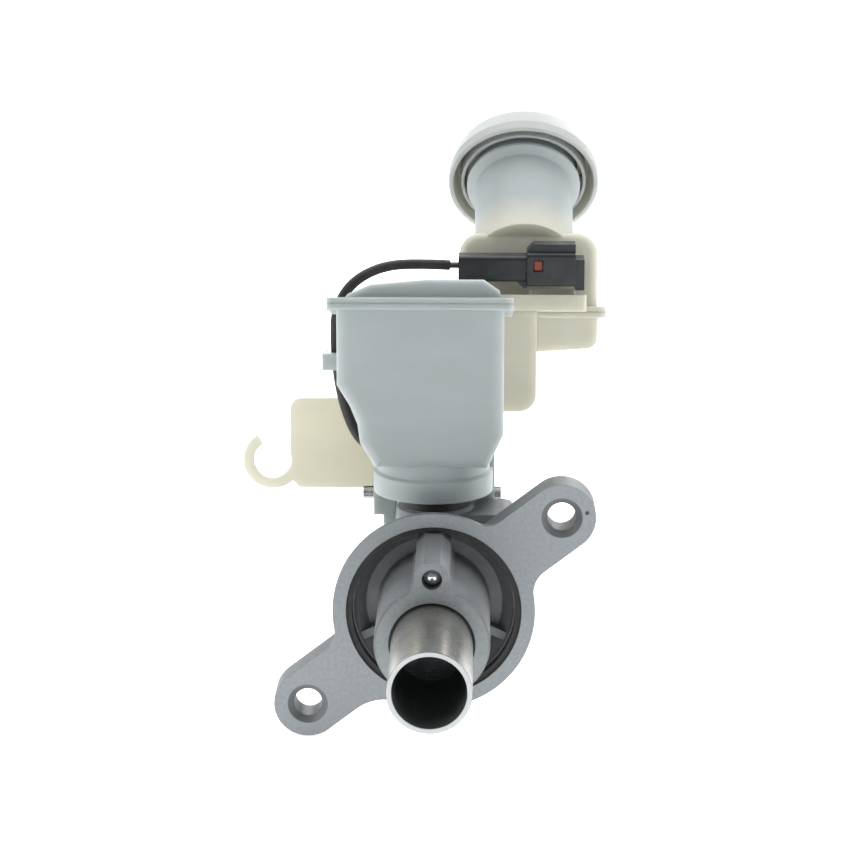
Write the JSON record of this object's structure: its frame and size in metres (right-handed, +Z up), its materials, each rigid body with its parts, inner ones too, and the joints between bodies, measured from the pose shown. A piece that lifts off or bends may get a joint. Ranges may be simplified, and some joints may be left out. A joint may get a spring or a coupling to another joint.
{
  "type": "brake master cylinder",
  "caption": "Tandem brake master cylinder with oblique flange, tubular piston, translucent reservoir, angled screw-cap filler, level sensor lead and harness hook.",
  "frame": {"origin": "bore axis on the front face of the mounting flange", "axes": "+Y along the bore away from the brake booster, +Z up to the reservoir, +X to the side of the pressure outlets"},
  "size_m": [0.1151, 0.2072, 0.1752],
  "materials": {
    "cast_aluminium": "as-cast grey with a machined flange face",
    "piston_metal": "ground and anodised, satin",
    "spring_steel": "bright drawn wire and turned steel",
    "black_rubber": "smooth moulded rubber",
    "black_plastic": "moulded, matt",
    "ball_steel": "polished ball",
    "natural_plastic": "translucent natural moulding",
    "cap_plastic": "white translucent moulding",
    "float_foam": "closed-cell foam",
    "magnet": "sintered ferrite",
    "lead_sheath": "satin extruded sheath",
    "connector_plastic": "dark slate moulded plastic",
    "lock_plastic": "orange-red moulded plastic",
    "terminal_brass": "tinned brass"
  },
  "bodies": {
    "cylinder": {"cylinder_body": "cast_aluminium", "primary_vacuum_seal": "black_rubber", "primary_pressure_seal": "black_rubber", "secondary_dividing_seal": "black_rubber", "secondary_pressure_seal": "black_rubber", "flange_seal": "black_rubber", "front_port_grommet": "black_rubber", "rear_port_grommet": "black_rubber", "guide_ring": "black_plastic", "channel_ball": "ball_steel", "reservoir_lower": "natural_plastic", "reservoir_upper": "natural_plastic", "filler_strainer": "natural_plastic", "reservoir_pin": "spring_steel", "level_sensor": "black_plastic", "sensor_lead": "lead_sheath", "lead_wires": "lead_sheath", "connector_housing": "connector_plastic", "connector_shell": "connector_plastic", "connector_lock": "lock_plastic", "connector_terminals": "terminal_brass"},
    "primary_piston": {"primary_piston": "piston_metal", "primary_rod": "spring_steel", "primary_spring": "spring_steel"},
    "secondary_piston": {"secondary_piston": "piston_metal", "primary_cup": "spring_steel", "secondary_spring": "spring_steel"},
    "cap_lift": {"cap_gasket": "black_rubber"},
    "cap_shell": {"filler_cap": "cap_plastic"},
    "float": {"level_float": "float_foam", "float_magnet": "magnet"}
  },
  "joints": [
    {"name": "primary_stroke", "type": "slide", "parent": "cylinder", "child": "primary_piston", "axis": [0, 1, 0], "range_m": [0, 0.032], "stiffness_N_per_m": 900, "springref_m": -0.03, "deforming": ["primary_spring"]},
    {"name": "secondary_stroke", "type": "slide", "parent": "cylinder", "child": "secondary_piston", "axis": [0, 1, 0], "range_m": [0, 0.016], "deforming": ["secondary_spring"]},
    {"name": "cap_rise", "type": "slide", "parent": "cylinder", "child": "cap_lift", "axis": [0, 0.8339, 0.5519], "range_m": [0, 0.018]},
    {"name": "cap_turn", "type": "hinge", "parent": "cap_lift", "child": "cap_shell", "pos_m": [0.0276, 0.114, 0.1111], "axis": [0, 0.8339, 0.5519], "range_deg": [0, 1080]},
    {"name": "float_drop", "type": "slide", "parent": "cylinder", "child": "float", "axis": [0, 0, -1], "range_m": [0, 0.0135]}
  ],
  "couplings": [
    {"joint": "secondary_stroke", "follows": "primary_stroke", "ratio": 0.5},
    {"joint": "cap_rise", "follows": "cap_turn", "m_per_rad": 0.00095493}
  ]
}
